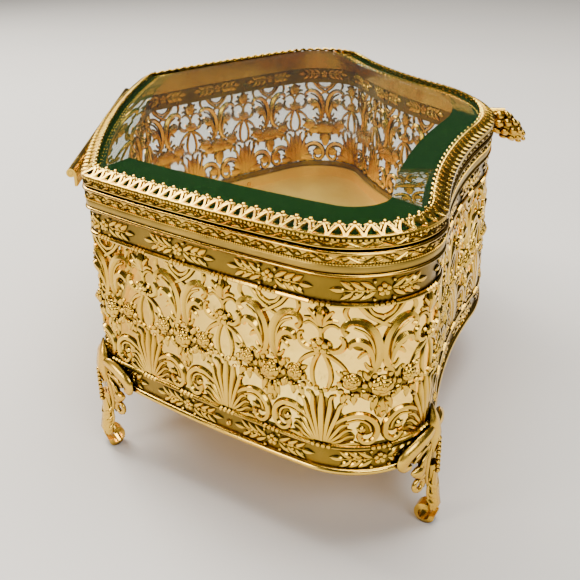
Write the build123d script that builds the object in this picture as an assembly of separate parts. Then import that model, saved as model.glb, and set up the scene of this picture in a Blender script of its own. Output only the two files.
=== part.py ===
"""Vanity trinket box: a gilt openwork casket on four cast feet, with a hinged lid of bevelled glass.

Units are millimetres. +X runs along the box, +Y towards the hinge, -Y towards the nose with the
knob, +Z up. The floor under the feet is z = 0 and the whole box is centred over the origin.

The plan is one closed outline of tangent arcs, symmetric about x = 0: a gently bowed hinge side, two
side arcs that spread towards the front, two hollow front arcs and a broad nose. Every ring of the box
is that outline moved outwards (+) or inwards (-), so all of them stay parallel and fit each other.
"""
from build123d import *
from math import atan2, cos, hypot, pi, sin, sqrt
import os

# ---- plan of the openwork wall's outer face ----
hinge_corner_x = 57.7          # where the hinge side meets the side arc, before rounding
hinge_corner_y = 42.9
front_corner_x = 115.6         # where the side arc meets the front arc, before rounding
front_corner_y = -31.8
nose_root_y = -73.5            # where the two front arcs would meet, before the nose is rounded
hinge_side_bow = 3.7           # how far each arc stands off its chord
side_bow = 2.9
front_hollow = 9.65
hinge_corner_radius = 4.8
front_corner_radius = 18.0
nose_radius = 60.8

# ---- heights, from the floor up ----
leg_height = 19.4              # underside of the box above the floor
lower_frieze_height = 6.8      # bottom edge to the lower bead-and-reel line
openwork_height = 33.0         # between the two bead-and-reel lines
upper_frieze_height = 6.1      # upper bead-and-reel line to the rim's round bead
rim_height = 5.7               # moulded rim that closes the base
lid_band_height = 2.4          # upright band of the lid
crown_rise = 2.05              # lace crown, root to tips

# ---- sheet and section sizes ----
wall = 0.9                     # openwork band
reel_line_stand = 0.95         # bead-and-reel line, proud of the wall
reel_line_height = 1.1
bottom_bead_stand = 1.1
bottom_bead_height = 1.6
rim_stand = 1.7                # widest part of the rim and of the lid, proud of the wall
rim_bead_height = 1.1
rim_groove_height = 0.7
rim_groove_depth = 0.6
rim_land = 2.6                 # flat top of the rim, reaching inwards
rim_land_thickness = 0.9
collar_thickness = 0.8
collar_below_rim = 0.9         # how far the collar reaches below the rim's round bead
floor_thickness = 0.8
floor_lift = 0.8               # floor plate above the bottom edge
floor_flange_height = 4.6
floor_flange_thickness = 0.8
lid_band_thickness = 1.2
lid_ledge = 4.5                # ledge under the glass, inwards from the wall's face
lid_ledge_thickness = 0.8
liner_height = 1.9             # ring under the lid that drops inside the rim
liner_thickness = 0.8
crown_lean = 4.0               # how far the crown leans in over the glass
crown_thickness = 0.5
glass_thickness = 3.9
glass_edge = 1.7
bevel_width = 10.0
smallest_glass_corner = 1.5

# ---- fits ----
solder_gap = 0.05              # between pieces that are soldered together
glass_gap = 0.6                # glass edge to the lid's band
lid_gap = 0.15                 # shut lid above the rim
liner_gap = 0.6                # lid's liner ring inside the rim's land
pin_gap = 0.05                 # hinge pin in its knuckles
knuckle_gap = 0.15             # between neighbouring knuckles
barrel_gap = 0.3               # barrel off the rim it turns beside
knob_gap = 0.5                 # hanging knob in front of the rim

# ---- openwork ----
unit_length = 25.4             # wanted length of one repeat of the pattern
drawn_height = 33.0            # openwork height that the heights of the openings below are given for
leaf_slot_width = 2.8          # leaf-shaped opening over the palmette
leaf_slot_height = 7.5
leaf_slot_up = 16.8
flank_radius = 1.9             # beside the leaf-shaped opening
flank_aside = 4.9
flank_up = 16.0
eye_radius = 2.6               # inside the big scroll
eye_margin = 3.6               # from the axis between two palmettes
eye_up = 23.6
foot_slot_width = 2.4          # between two volutes
foot_slot_height = 5.6
foot_slot_up = 5.0
swag_radius = 2.2              # under the swag
swag_up = 28.6

# ---- rivets, hinge, knob, feet ----
rivet_shank_radius = 0.45
rivet_head_radius = 0.8
rivet_tail_thickness = 0.5     # spread end inside the box
rivet_tail_overlap = 0.3       # how far the shank runs on into the tail and the head
rivet_above_bottom = 3.4
rivet_every_units = 4          # on each long side, counted from the middle of the hinge side
barrel_half_length = 48.0
flat_past_barrel = 1.0         # the flat runs past each end of the barrel
barrel_radius = 1.1
pin_radius = 0.55
knuckle_count = 5
strap_thickness = 0.7
strap_reach_down = 3.4
strap_reach_up = 1.9
strap_bite = 0.2               # how far a strap runs into its knuckle
knob_length = 12.0
knob_drop = 35.0               # degrees below level
knob_radius = 4.6
bud_length = 13.0
bud_tip_radius = 0.8
bud_shoulder = 0.8             # of the radius, at 0.6 of the half length
bud_shoulder_at = 0.6
knob_hang = 5.0                # middle of the bud below the stud
knob_neck_radius = 1.0
knob_neck_length = 4.8
stud_radius = 0.5
stud_reach = 3.0               # into the knob
arm_length = 10.5              # scrolled arms over the lower frieze, each side of the corner
arm_height = 6.6
crest_width = 4.4              # leaf that runs up the corner
crest_reach = 12.0             # above the bottom edge
web_width = 12.0               # ribbed leaf under the arms
web_drop = 8.0                 # below the bottom edge
foot_skin = 1.3
leg_width = 4.2
leg_thickness = 2.2
leg_top_above = 3.0            # top of the leg's line over the bottom edge
leg_bottom_under = 1.5         # below this far under the bottom edge the leg is whole
heel_bulge = 0.9               # outwards
toe_radius = 2.9               # open ring that the leg curls into
toe_skin = 1.3
toe_flat = 0.2                 # worn flat under the toe
front_foot_along = 0.84        # where on the rounded front corner its foot stands


def circle_meet(c1, r1, c2, r2):
    """The two points where two circles meet."""
    dx, dy = c2[0] - c1[0], c2[1] - c1[1]
    gap = hypot(dx, dy)
    along = (r1 * r1 - r2 * r2 + gap * gap) / (2 * gap)
    side = sqrt(r1 * r1 - along * along)
    mx, my = c1[0] + along * dx / gap, c1[1] + along * dy / gap
    return [(mx - side * dy / gap, my + side * dx / gap), (mx + side * dy / gap, my - side * dx / gap)]


def chord_circle(start, end, bow, turn):
    """Centre and radius of the arc from start to end that stands bow off its chord."""
    chord = hypot(end[0] - start[0], end[1] - start[1])
    radius = (chord * chord / 4 + bow * bow) / (2 * bow)
    nx = (end[1] - start[1]) / chord * turn
    ny = -(end[0] - start[0]) / chord * turn
    middle = ((start[0] + end[0]) / 2, (start[1] + end[1]) / 2)
    return (middle[0] - nx * (radius - bow), middle[1] - ny * (radius - bow)), radius


hinge_corner = (hinge_corner_x, hinge_corner_y)
front_corner = (front_corner_x, front_corner_y)
hinge_radius = (hinge_corner_x ** 2 + hinge_side_bow ** 2) / (2 * hinge_side_bow)
hinge_centre = (0.0, hinge_corner_y + hinge_side_bow - hinge_radius)
side_centre, side_radius = chord_circle(hinge_corner, front_corner, side_bow, -1)
front_centre, front_radius = chord_circle(front_corner, (0.0, nose_root_y), front_hollow, 1)


def direction(centre, point):
    return atan2(point[1] - centre[1], point[0] - centre[0])


def right_half(offset, smallest=0.0):
    """Arcs (centre, radius, from angle, to angle) of the half with x > 0, from hinge to nose."""
    r_hinge = hinge_radius + offset
    r_side = side_radius + offset
    r_front = front_radius - offset
    r_c1 = max(hinge_corner_radius + offset, smallest)
    r_c2 = max(front_corner_radius + offset, smallest)
    r_nose = max(nose_radius + offset, smallest)
    c1 = max(circle_meet(hinge_centre, r_hinge - r_c1, side_centre, r_side - r_c1), key=sum)
    c2 = max(circle_meet(side_centre, r_side - r_c2, front_centre, r_front + r_c2))
    c3 = (0.0, front_centre[1] + sqrt((r_front + r_nose) ** 2 - front_centre[0] ** 2))
    hollow_start = direction(front_centre, c2)
    hollow_end = direction(front_centre, c3)
    return [
        (hinge_centre, r_hinge, pi / 2, direction(hinge_centre, c1)),
        (c1, r_c1, direction(hinge_centre, c1), direction(side_centre, c1)),
        (side_centre, r_side, direction(side_centre, c1), direction(side_centre, c2)),
        (c2, r_c2, direction(side_centre, c2), hollow_start - pi),
        (front_centre, r_front, hollow_start, hollow_end),
        (c3, r_nose, hollow_end - pi, -pi / 2),
    ]


def arc_point(arc, share, mirror=1):
    centre, radius, start, end = arc
    angle = start + (end - start) * share
    return (mirror * (centre[0] + radius * cos(angle)), centre[1] + radius * sin(angle))


def plan_wire(offset, z, smallest=0.0):
    """The closed outline, moved by offset, as ten tangent arcs at height z."""
    arcs = right_half(offset, smallest)
    nose_middle = arc_point(arcs[5], 1.0)
    spans = [(arc_point(arcs[0], 1.0, -1), arc_point(arcs[0], 0.0), arc_point(arcs[0], 1.0))]
    spans += [tuple(arc_point(a, s) for s in (0.0, 0.5, 1.0)) for a in arcs[1:5]]
    spans += [(arc_point(arcs[5], 0.0), nose_middle, arc_point(arcs[5], 0.0, -1))]
    spans += [tuple(arc_point(a, s, -1) for s in (1.0, 0.5, 0.0)) for a in arcs[4:0:-1]]
    return Wire([ThreePointArc(*[(x, y, z) for x, y in span]).edge() for span in spans])


def slab(offset, low, high, smallest=0.0):
    """Everything inside the outline moved by offset, between two heights."""
    return extrude(Face(plan_wire(offset, low, smallest)), high - low, dir=(0, 0, 1))


def ring(inner, outer, low, high):
    return slab(outer, low, high) - slab(inner, low, high)


def frustum(offset_low, low, offset_high, high, smallest=0.0):
    """Solid between the outline at one offset and height and at another."""
    wires = [plan_wire(offset_low, low, smallest), plan_wire(offset_high, high, smallest)]
    return Solid.make_loft(wires, ruled=True)


def half_length():
    return sum(a[1] * abs(a[3] - a[2]) for a in right_half(0.0))


def station(distance):
    """Point and outward angle at a distance along the wall's face from the middle of the hinge side."""
    half = half_length()
    mirror = 1 if distance <= half else -1
    left = distance if distance <= half else 2 * half - distance
    for index, arc in enumerate(right_half(0.0)):
        length = arc[1] * abs(arc[3] - arc[2])
        if left <= length + 1e-9:
            break
        left -= length
    share = left / length
    point = arc_point(arc, share, mirror)
    angle = arc[2] + (arc[3] - arc[2]) * share + (pi if index == 4 else 0.0)
    return point, (angle if mirror == 1 else pi - angle)


def wall_plane(distance, z):
    """Plane on the wall's face: local x along the wall, local y up, local z outwards."""
    (x, y), angle = station(distance % (2 * half_length()))
    return Plane(origin=(x, y, z), x_dir=(-sin(angle), cos(angle), 0), z_dir=(cos(angle), sin(angle), 0))


# ---- levels worked out from the heights ----
lower_reel_z = leg_height + lower_frieze_height
upper_reel_z = lower_reel_z + openwork_height
rim_z = upper_reel_z + upper_frieze_height
split_z = rim_z + rim_height
lid_z = split_z + lid_gap
ledge_top_z = lid_z + lid_ledge_thickness
crown_z = lid_z + lid_band_height
floor_z = leg_height + floor_lift
floor_top_z = floor_z + floor_thickness
land_z = split_z - rim_land_thickness
band_top_z = land_z - solder_gap
hinge_z = split_z + lid_gap / 2
wall_back = -wall - solder_gap
glass_offset = rim_stand - lid_band_thickness - glass_gap

# ---- hinge line: just outside a shallow flat on the rim and on the lid's band ----
hinge_side_y = hinge_corner_y + hinge_side_bow
flat_y = hinge_side_y + rim_stand - strap_thickness
hinge_y = flat_y + barrel_gap + barrel_radius

unit_count = 2 * round(2 * half_length() / (2 * unit_length))
unit = 2 * half_length() / unit_count
nose_y = right_half(0.0)[5][0][1] - nose_radius

# ---- how far the whole box moves so that its outer box is centred over the origin ----
front_most_y = nose_y - rim_stand - knob_length
back_most_y = hinge_y + barrel_radius
centre_shift = -(front_most_y + back_most_y) / 2


def openings_of_one_unit(middle):
    """Cutters for one repeat: leaf slot, flanks, scroll eyes, gap under the rose and swag gap."""
    def cutter(du, v, shape):
        return extrude(wall_plane(middle + du, lower_reel_z + v) * shape, 2 * wall, both=True)

    rise = openwork_height / drawn_height
    half = unit / 2
    eye_aside = half - eye_radius - eye_margin
    leaf_slot = SlotOverall(leaf_slot_height, leaf_slot_width, rotation=90)
    foot_slot = SlotOverall(foot_slot_height, foot_slot_width, rotation=90)
    cutters = [cutter(0.0, leaf_slot_up * rise, leaf_slot)]
    cutters += [cutter(side * flank_aside, flank_up * rise, Circle(flank_radius)) for side in (-1, 1)]
    cutters += [cutter(side * eye_aside, eye_up * rise, Circle(eye_radius)) for side in (-1, 1)]
    cutters += [cutter(half, foot_slot_up * rise, foot_slot)]
    cutters += [cutter(half, swag_up * rise, Circle(swag_radius))]
    return cutters


def rivet_distances():
    """Along the wall: the middle of the hinge side, both long sides and the nose."""
    side = rivet_every_units * unit
    return [0.0, side, half_length(), 2 * half_length() - side]


def rivet_hole(distance):
    plane = wall_plane(distance, leg_height + rivet_above_bottom)
    reach = bottom_bead_stand + wall + floor_flange_thickness + 1.0
    return extrude(plane * Circle(rivet_shank_radius + solder_gap), reach, both=True)


def filigree_band():
    band = ring(-wall, 0.0, leg_height + solder_gap, band_top_z)
    for z in (lower_reel_z, upper_reel_z):
        band += ring(0.0, reel_line_stand, z - reel_line_height / 2, z + reel_line_height / 2)
    cutters = []
    for index in range(unit_count):
        cutters += openings_of_one_unit(index * unit)
    cutters += [rivet_hole(d) for d in rivet_distances()]
    return band - cutters


def bottom_moulding():
    return ring(solder_gap, bottom_bead_stand, leg_height, leg_height + bottom_bead_height)


def base_plate():
    """Floor with a turned-up flange, riveted inside the lower frieze."""
    tray = slab(wall_back, floor_z, floor_z + floor_flange_height)
    tray -= slab(wall_back - floor_flange_thickness, floor_top_z, floor_z + floor_flange_height)
    return tray - [rivet_hole(d) for d in rivet_distances()]


def plate_rivets():
    """Ball-headed rivets through the wall and the floor's flange."""
    rivets = []
    inside = wall + solder_gap + floor_flange_thickness + solder_gap
    for distance in rivet_distances():
        plane = wall_plane(distance, leg_height + rivet_above_bottom)
        shank = extrude(plane.offset(-inside - rivet_tail_overlap) * Circle(rivet_shank_radius),
                        inside + 2 * rivet_tail_overlap)
        tail = extrude(plane.offset(-inside - rivet_tail_thickness) * Circle(rivet_head_radius),
                       rivet_tail_thickness)
        head = plane.offset(solder_gap) * Sphere(
            rivet_head_radius, arc_size1=0, align=(Align.CENTER, Align.CENTER, Align.MIN))
        rivets.append((shank + tail + head).solid())
    return rivets


def top_rim():
    """Pressed rim: round bead, groove, fine-lined band, engraved band, and the flat land on top."""
    groove_top = rim_z + rim_bead_height + rim_groove_height
    rim = ring(solder_gap, rim_stand, rim_z, rim_z + rim_bead_height)
    rim += ring(solder_gap, rim_stand - rim_groove_depth, rim_z + rim_bead_height, groove_top)
    rim += ring(solder_gap, rim_stand, groove_top, split_z)
    rim += ring(-rim_land, rim_stand, land_z, split_z)
    return rim - hinge_flat(rim_z - 1.0, split_z + 1.0)


def inner_collar():
    """Plain strip inside the wall behind the rim, under the land."""
    return ring(wall_back - collar_thickness, wall_back, rim_z - collar_below_rim, band_top_z)


def hinge_flat(low, high):
    """What is cut from the bowed hinge side so that the straight barrel can lie along it."""
    length = 2 * (barrel_half_length + flat_past_barrel)
    depth = 6.0
    middle = (low + high) / 2
    return Pos(0, flat_y + depth / 2, middle) * Box(length, depth, high - low)


def lid_frame():
    frame = ring(rim_stand - lid_band_thickness, rim_stand, lid_z, crown_z)
    frame += ring(-lid_ledge, rim_stand, lid_z, ledge_top_z)
    frame -= hinge_flat(lid_z - 1.0, crown_z + 1.0)
    plane = Plane(origin=(0, nose_y, stud_z), x_dir=(1, 0, 0), z_dir=(0, 1, 0))
    return frame - extrude(plane * Circle(stud_radius + solder_gap), 2 * rim_stand + 2.0, both=True)


def lid_liner_ring():
    outer = -rim_land - liner_gap
    return ring(outer - liner_thickness, outer, lid_z - solder_gap - liner_height, lid_z - solder_gap)


def crown_gallery():
    """Lace strip that stands on the lid's band and leans in over the edge of the glass."""
    root = crown_z + solder_gap
    tip = root + crown_rise
    below = 1.0
    lean_per_rise = crown_lean / crown_rise
    skin = crown_thickness * lean_per_rise
    start = rim_stand + below * lean_per_rise
    outer = frustum(start, root - below, rim_stand - crown_lean, tip)
    inner = frustum(start - skin, root - below, rim_stand - crown_lean - skin, tip)
    return outer - inner - slab(start + 2.0, root - below - 1.0, root)


def glass_panel():
    """Flat pane with a wide bevel all round its upper face."""
    low = ledge_top_z + solder_gap
    edge = slab(glass_offset, low, low + glass_edge, smallest_glass_corner)
    bevel = frustum(glass_offset, low + glass_edge, glass_offset - bevel_width, low + glass_thickness,
                    smallest_glass_corner)
    return edge + bevel


stud_z = (ledge_top_z + crown_z) / 2


def knob():
    """Cast bud: a short neck on the lid's band and a body that hangs in front of the rim."""
    face_y = nose_y - rim_stand - solder_gap
    root = Plane(origin=(0, face_y, stud_z), x_dir=(1, 0, 0), z_dir=(0, -1, 0))
    half = bud_length / 2
    shoulder = (knob_radius * bud_shoulder, half * bud_shoulder_at)
    swell = Spline((bud_tip_radius, -half), (shoulder[0], -shoulder[1]), (knob_radius, 0), shoulder,
                   (bud_tip_radius, half))
    ends = Polyline((bud_tip_radius, half), (0, half), (0, -half), (bud_tip_radius, -half))
    bud = Rot(90 + knob_drop, 0, 0) * revolve(Plane.XZ * make_face([swell, ends]), Axis.Z)
    bud = Pos(0, front_most_y - bud.bounding_box().min.Y, stud_z - knob_hang) * bud
    behind = Pos(0, face_y - knob_gap + bud_length / 2, stud_z)
    bud -= behind * Box(4 * knob_radius, bud_length, 3 * bud_length)
    neck = extrude(root * Circle(knob_neck_radius), knob_neck_length)
    return bud + neck - extrude(root * Circle(stud_radius + solder_gap), stud_reach)


def knob_stud():
    inner_y = nose_y - rim_stand + lid_band_thickness
    plane = Plane(origin=(0, inner_y, stud_z), x_dir=(1, 0, 0), z_dir=(0, -1, 0))
    return extrude(plane * Circle(stud_radius), lid_band_thickness + stud_reach)


def tube(x0, x1):
    plane = Plane(origin=(x0, hinge_y, hinge_z), x_dir=(0, 1, 0), z_dir=(1, 0, 0))
    return extrude(plane * (Circle(barrel_radius) - Circle(pin_radius + pin_gap)), x1 - x0)


def knuckles(first):
    """Every second knuckle with its strap: the base's hang down, the lid's stand up."""
    step = 2 * barrel_half_length / knuckle_count
    solids = []
    for index in range(first, knuckle_count, 2):
        x0 = -barrel_half_length + index * step + (knuckle_gap / 2 if index else 0.0)
        x1 = -barrel_half_length + (index + 1) * step
        x1 -= knuckle_gap / 2 if index < knuckle_count - 1 else 0.0
        if first == 0:
            low, high = hinge_z - strap_reach_down, hinge_z
        else:
            low, high = hinge_z, hinge_z + strap_reach_up
        front = flat_y + solder_gap
        strap = Pos((x0 + x1) / 2, front + strap_thickness / 2, (low + high) / 2) * Box(
            x1 - x0, strap_thickness, high - low)
        bore_plane = Plane(origin=(x0, hinge_y, hinge_z), x_dir=(0, 1, 0), z_dir=(1, 0, 0))
        strap -= extrude(bore_plane * Circle(barrel_radius - strap_bite), x1 - x0)
        solids.append((tube(x0, x1) + strap).solid())
    return solids


def hinge_pin():
    plane = Plane(origin=(-barrel_half_length, hinge_y, hinge_z), x_dir=(0, 1, 0), z_dir=(1, 0, 0))
    return extrude(plane * Circle(pin_radius), 2 * barrel_half_length)


def foot_distance(front):
    """Distance along the wall to a foot: middle of the hinge corner, or along the front corner."""
    arcs = right_half(0.0)
    lengths = [a[1] * abs(a[3] - a[2]) for a in arcs]
    if front:
        return sum(lengths[:3]) + lengths[3] * front_foot_along
    return lengths[0] + lengths[1] / 2


def foot(distance):
    """Cast foot: arms, crest and web that wrap the corner, a leg, and a toe curled into an open ring."""
    face = wall_plane(distance, 0.0)
    stand = bottom_bead_stand + solder_gap
    crest_z = leg_height + crest_reach
    web_z = leg_height - web_drop

    arms = Pos(0, leg_height + arm_height / 2) * Ellipse(arm_length, arm_height / 2)
    crest = Pos(0, (leg_height + crest_z) / 2) * Ellipse(crest_width / 2, crest_reach / 2)
    web = Pos(0, leg_height) * Ellipse(web_width / 2, web_drop)
    wrap = extrude(face * (arms + crest + web), hinge_corner_radius + 6.0, both=True)
    shield = ring(stand, stand + foot_skin, web_z, crest_z) & wrap

    across = Plane(origin=face.origin, x_dir=face.z_dir, z_dir=-face.x_dir)
    outer = stand + foot_skin - leg_thickness / 2
    toe = Pos(outer + heel_bulge + leg_thickness / 2 - toe_radius, toe_radius - toe_flat)
    curl = toe * (Circle(toe_radius) - Circle(toe_radius - toe_skin))
    curl -= toe * Pos(-toe_radius, toe_radius) * Rectangle(2 * toe_radius, 2 * toe_radius)
    path = Spline((outer, leg_height + leg_top_above), (outer, leg_height * 0.7),
                  (outer + heel_bulge, toe_radius * 1.5), (outer + heel_bulge, toe_radius))
    leg = extrude(across * (trace(path, leg_thickness) + curl), leg_width / 2, both=True)
    leg &= Pos(*face.origin) * Pos(0, 0, crest_z / 2) * Box(60, 60, crest_z)
    return shield + (leg - slab(stand, leg_height - leg_bottom_under, 2 * crest_z))


def write(name, shape):
    solids = [s for s in shape] if isinstance(shape, list) else [shape]
    solids = [Pos(0, centre_shift, 0) * s for s in solids]
    body = solids[0] if len(solids) == 1 else Compound(children=solids)
    export_step(body, f"parts/{name}.step")
    print(f"{name:22s} {sum(s.volume for s in solids):10.1f} mm3")


def main():
    os.makedirs("parts", exist_ok=True)
    write("filigree_band", filigree_band())
    write("bottom_moulding", bottom_moulding())
    write("base_plate", base_plate())
    write("plate_rivets", plate_rivets())
    write("top_rim", top_rim())
    write("inner_collar", inner_collar())
    around = 2 * half_length()
    write("back_right_foot", foot(foot_distance(False)))
    write("front_right_foot", foot(foot_distance(True)))
    write("front_left_foot", foot(around - foot_distance(True)))
    write("back_left_foot", foot(around - foot_distance(False)))
    write("hinge_base_knuckles", knuckles(0))
    write("hinge_lid_knuckles", knuckles(1))
    write("hinge_pin", hinge_pin())
    write("lid_frame", lid_frame())
    write("lid_liner_ring", lid_liner_ring())
    write("crown_gallery", crown_gallery())
    write("glass_panel", glass_panel())
    write("knob", knob())
    write("knob_stud", knob_stud())
    print(f"{unit_count} units of {unit:.3f} mm")
    print(f"hinge axis y {hinge_y + centre_shift:.3f} z {hinge_z:.3f}")


main()
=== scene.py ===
"""Vanity trinket box: stamped and cast gilt ornament, bevelled glass and finishes on the fixed frame."""
from math import atan, atan2, cos, hypot, pi, radians, sin, sqrt, tau

import bmesh
import bpy
import numpy as np
from mathutils import Matrix, Vector


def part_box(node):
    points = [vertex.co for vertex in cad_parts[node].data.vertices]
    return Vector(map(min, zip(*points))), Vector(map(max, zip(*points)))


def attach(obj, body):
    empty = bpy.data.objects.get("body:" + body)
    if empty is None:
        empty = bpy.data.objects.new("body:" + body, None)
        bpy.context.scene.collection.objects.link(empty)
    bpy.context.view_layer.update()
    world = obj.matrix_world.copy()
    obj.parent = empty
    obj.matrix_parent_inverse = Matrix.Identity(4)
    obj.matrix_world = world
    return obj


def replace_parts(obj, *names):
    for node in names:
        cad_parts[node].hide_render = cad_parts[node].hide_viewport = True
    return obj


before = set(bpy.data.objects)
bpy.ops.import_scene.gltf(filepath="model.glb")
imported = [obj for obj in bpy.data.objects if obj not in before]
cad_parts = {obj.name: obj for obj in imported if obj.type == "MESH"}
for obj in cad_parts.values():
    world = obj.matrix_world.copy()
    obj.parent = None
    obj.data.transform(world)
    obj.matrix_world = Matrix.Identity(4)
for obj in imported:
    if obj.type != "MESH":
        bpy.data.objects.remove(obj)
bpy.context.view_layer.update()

MM = 0.001

# ---- plan of the openwork wall's outer face, in millimetres, as the frame has it ----
hinge_corner = (57.7, 42.9)
front_corner = (115.6, -31.8)
nose_root = (0.0, -73.5)
hinge_side_bow = 3.7
side_bow = 2.9
front_hollow = 9.65
hinge_corner_radius = 4.8
front_corner_radius = 18.0
nose_radius = 60.8
wall = 0.9
rim_stand = 1.7
crown_lean = 4.0
front_foot_along = 0.84
unit_length = 25.4


def level(node, top):
    """Height of a frame node's lowest or highest corner, in millimetres."""
    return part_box(node)[1 if top else 0].z / MM


# ---- levels, read from the frame; the friezes' heights are the ornament's own ----
lower_frieze = 6.8
upper_frieze = 6.1
solder_gap = 0.05
bottom_z = level("bottom_moulding", False)
lower_reel_z = bottom_z + lower_frieze
rim_z = level("top_rim", False)
split_z = level("top_rim", True)
upper_reel_z = rim_z - upper_frieze
lid_z = level("lid_frame", False)
crown_z = level("lid_frame", True)
tips_z = level("crown_gallery", True)
openwork = upper_reel_z - lower_reel_z
drawn_height = 33.0     # height that the openwork's strokes are drawn for
fullness = 1.22         # how much thicker than drawn they are made

# behind the hinge the mouldings are filed flat
hinge_low, hinge_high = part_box("hinge_base_knuckles")
flat_y = hinge_low.y / MM - solder_gap
flat_half = hinge_high.x / MM + 1.0
flat_low_z = rim_z - 0.6

# the frame is centred on its box, and the plan below on its own middle
shift_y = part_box("base_plate")[1].y / MM - (hinge_corner[1] + hinge_side_bow - wall - solder_gap)


# ======================================================================================
# The plan as a path: distance along the wall, and how far out from it
# ======================================================================================

def chord_circle(start, end, bow, turn):
    """Centre and radius of the arc from start to end that stands bow off its chord."""
    chord = hypot(end[0] - start[0], end[1] - start[1])
    radius = (chord * chord / 4 + bow * bow) / (2 * bow)
    nx = (end[1] - start[1]) / chord * turn
    ny = -(end[0] - start[0]) / chord * turn
    middle_x, middle_y = (start[0] + end[0]) / 2, (start[1] + end[1]) / 2
    return (middle_x - nx * (radius - bow), middle_y - ny * (radius - bow)), radius


def circle_meet(c1, r1, c2, r2):
    """The two points where two circles cross."""
    dx, dy = c2[0] - c1[0], c2[1] - c1[1]
    gap = hypot(dx, dy)
    along = (r1 * r1 - r2 * r2 + gap * gap) / (2 * gap)
    side = sqrt(r1 * r1 - along * along)
    mx, my = c1[0] + along * dx / gap, c1[1] + along * dy / gap
    return [(mx - side * dy / gap, my + side * dx / gap), (mx + side * dy / gap, my - side * dx / gap)]


def heading(centre, point):
    """Direction from a circle's centre to a point on it."""
    return atan2(point[1] - centre[1], point[0] - centre[0])


def half_plan():
    """Arcs (centre, radius, from, to) of the half with x > 0, from the hinge side to the nose."""
    hinge_r = (hinge_corner[0] ** 2 + hinge_side_bow ** 2) / (2 * hinge_side_bow)
    hinge_c = (0.0, hinge_corner[1] + hinge_side_bow - hinge_r)
    side_c, side_r = chord_circle(hinge_corner, front_corner, side_bow, -1)
    front_c, front_r = chord_circle(front_corner, nose_root, front_hollow, 1)
    hinge_inner_r, side_inner_r = hinge_r - hinge_corner_radius, side_r - hinge_corner_radius
    c1 = max(circle_meet(hinge_c, hinge_inner_r, side_c, side_inner_r), key=sum)
    c2 = max(circle_meet(side_c, side_r - front_corner_radius, front_c, front_r + front_corner_radius))
    c3 = (0.0, front_c[1] + sqrt((front_r + nose_radius) ** 2 - front_c[0] ** 2))
    hollow_start, hollow_end = heading(front_c, c2), heading(front_c, c3)
    return [
        (hinge_c, hinge_r, pi / 2, heading(hinge_c, c1)),
        (c1, hinge_corner_radius, heading(hinge_c, c1), heading(side_c, c1)),
        (side_c, side_r, heading(side_c, c1), heading(side_c, c2)),
        (c2, front_corner_radius, heading(side_c, c2), hollow_start - pi),
        (front_c, front_r, hollow_start, hollow_end),
        (c3, nose_radius, hollow_end - pi, -pi / 2),
    ]


arcs = half_plan()
hollow_arc = 4          # the one arc that is hollow, seen from outside
arc_lengths = [arc[1] * abs(arc[3] - arc[2]) for arc in arcs]
half_way = sum(arc_lengths)
around = 2 * half_way
unit_count = 2 * round(around / (2 * unit_length))
unit = around / unit_count
half_unit = unit / 2
back_foot_at = arc_lengths[0] + arc_lengths[1] / 2
front_foot_at = sum(arc_lengths[:3]) + arc_lengths[3] * front_foot_along


def sample_plan(step=0.2):
    """Distance, place and outward direction all the way round, as arrays."""
    rows = []
    done = 0.0
    for index, (centre, radius, start, end) in enumerate(arcs):
        shares = np.linspace(0, 1, max(4, int(arc_lengths[index] / step)))
        angle = start + (end - start) * shares
        out = angle + (pi if index == hollow_arc else 0.0)
        x = centre[0] + radius * np.cos(angle)
        y = centre[1] + radius * np.sin(angle)
        rows.append(np.stack([done + arc_lengths[index] * shares, x, y, np.cos(out), np.sin(out)], axis=1))
        done += arc_lengths[index]
    right = np.concatenate(rows)
    left = right[::-1] * np.array([-1, -1, 1, -1, 1]) + np.array([around, 0, 0, 0, 0])
    return np.concatenate([right, left]).T


path = sample_plan()


def mark_relief(mesh, height=None):
    """Notes on each vertex how far it stands off the sheet's middle, or one height for them all."""
    out = np.empty(len(mesh.vertices) * 3)
    mesh.vertices.foreach_get("co", out)
    out = np.abs(out[2::3]) if height is None else np.full(len(mesh.vertices), height)
    mesh.attributes.new("relief", "FLOAT", "POINT").data.foreach_set("value", np.ascontiguousarray(out))


def bend(mesh, start=0.0, lift=0.0, turn=1):
    """Lays a flat mesh (along, up, out, in millimetres) round the wall and turns it to metres.

    turn -1 runs the other way round, for the pieces on the left.
    """
    flat = np.empty(len(mesh.vertices) * 3)
    mesh.vertices.foreach_get("co", flat)
    flat = flat.reshape(-1, 3)
    if "relief" not in mesh.attributes:
        mark_relief(mesh)
    along = (start + turn * flat[:, 0]) % around
    x, y, out_x, out_y = [np.interp(along, path[0], row) for row in path[1:]]
    placed = np.stack([x + out_x * flat[:, 2], y + out_y * flat[:, 2] + shift_y, flat[:, 1] + lift], axis=1)
    by_barrel = (np.abs(placed[:, 0]) < flat_half) & (placed[:, 2] > flat_low_z) & (placed[:, 2] < crown_z)
    placed[:, 1] = np.where(by_barrel, np.minimum(placed[:, 1], flat_y), placed[:, 1])
    mesh.vertices.foreach_set("co", (placed * MM).ravel())
    mesh.update()


# ======================================================================================
# Making flat ornament
# ======================================================================================

def evaluated_mesh(holder):
    """The mesh that an object's curve or modifiers give; the object itself is thrown away."""
    bpy.context.scene.collection.objects.link(holder)
    graph = bpy.context.evaluated_depsgraph_get()
    mesh = bpy.data.meshes.new_from_object(holder.evaluated_get(graph))
    bpy.data.objects.remove(holder)
    return mesh


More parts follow.
